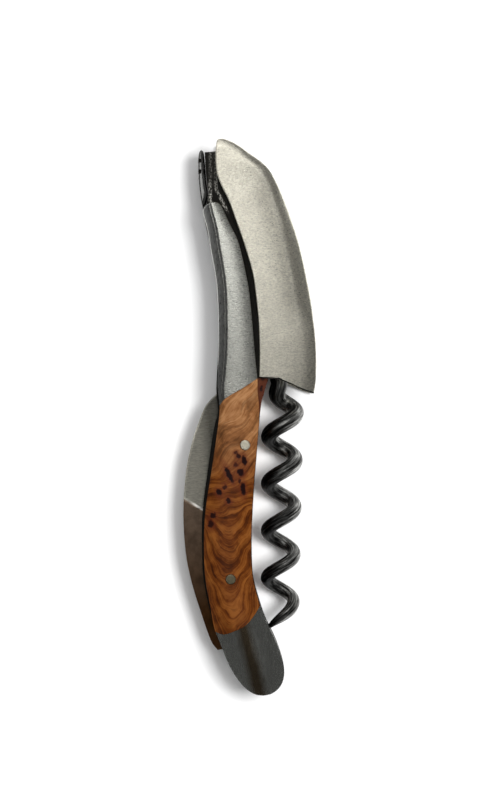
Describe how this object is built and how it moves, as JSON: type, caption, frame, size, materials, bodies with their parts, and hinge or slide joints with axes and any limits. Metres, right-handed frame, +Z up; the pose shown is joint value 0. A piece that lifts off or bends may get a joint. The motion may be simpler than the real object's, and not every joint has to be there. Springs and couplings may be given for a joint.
{
  "type": "lever corkscrew",
  "caption": "Folding lever corkscrew with a single-step lever, a pivoting worm, a foil blade and a wooden handle between metal bolsters.",
  "frame": {"origin": "centre of the folded tool's box, on the surface that it lies on", "axes": "+Y along the tool towards the lever hinge, +X towards the worm, +Z up through the thickness"},
  "size_m": [0.0288, 0.12, 0.013],
  "materials": {
    "lever_steel": "brushed",
    "bolster_steel": "brushed",
    "rear_steel": "polished, dark",
    "spring_steel": "satin",
    "blade_steel": "satin ground",
    "worm_steel": "polished, dark",
    "nickel_silver": "polished nickel silver",
    "figured_wood": "polished burl"
  },
  "bodies": {
    "handle": {"near_front_bolster": "bolster_steel", "far_front_bolster": "bolster_steel", "upper_bolster_pin": "bolster_steel", "lower_bolster_pin": "bolster_steel", "lever_pivot_pin": "bolster_steel", "worm_pivot_pin": "bolster_steel", "near_rear_bolster": "rear_steel", "far_rear_bolster": "rear_steel", "blade_pivot_pin": "rear_steel", "near_liner": "spring_steel", "far_liner": "spring_steel", "back_spring": "spring_steel", "spring_head": "spring_steel", "front_spacer": "spring_steel", "upper_scale_pin": "nickel_silver", "lower_scale_pin": "nickel_silver", "near_lever_washer": "nickel_silver", "far_lever_washer": "nickel_silver", "near_scale": "figured_wood", "far_scale": "figured_wood"},
    "lever": {"lever": "lever_steel"},
    "worm": {"worm": "worm_steel"},
    "foil_blade": {"foil_blade": "blade_steel"}
  },
  "joints": [
    {"name": "lever_hinge", "type": "hinge", "parent": "handle", "child": "lever", "pos_m": [-0.0051, 0.0538, 0.0065], "axis": [0, 0, 1], "range_deg": [0, 150]},
    {"name": "worm_hinge", "type": "hinge", "parent": "handle", "child": "worm", "pos_m": [0.0053, 0.0155, 0.0065], "axis": [0, 0, 1], "range_deg": [0, 92]},
    {"name": "blade_hinge", "type": "hinge", "parent": "handle", "child": "foil_blade", "pos_m": [-0.0029, -0.0501, 0.0065], "axis": [0, 0, 1], "range_deg": [0, 175]}
  ]
}
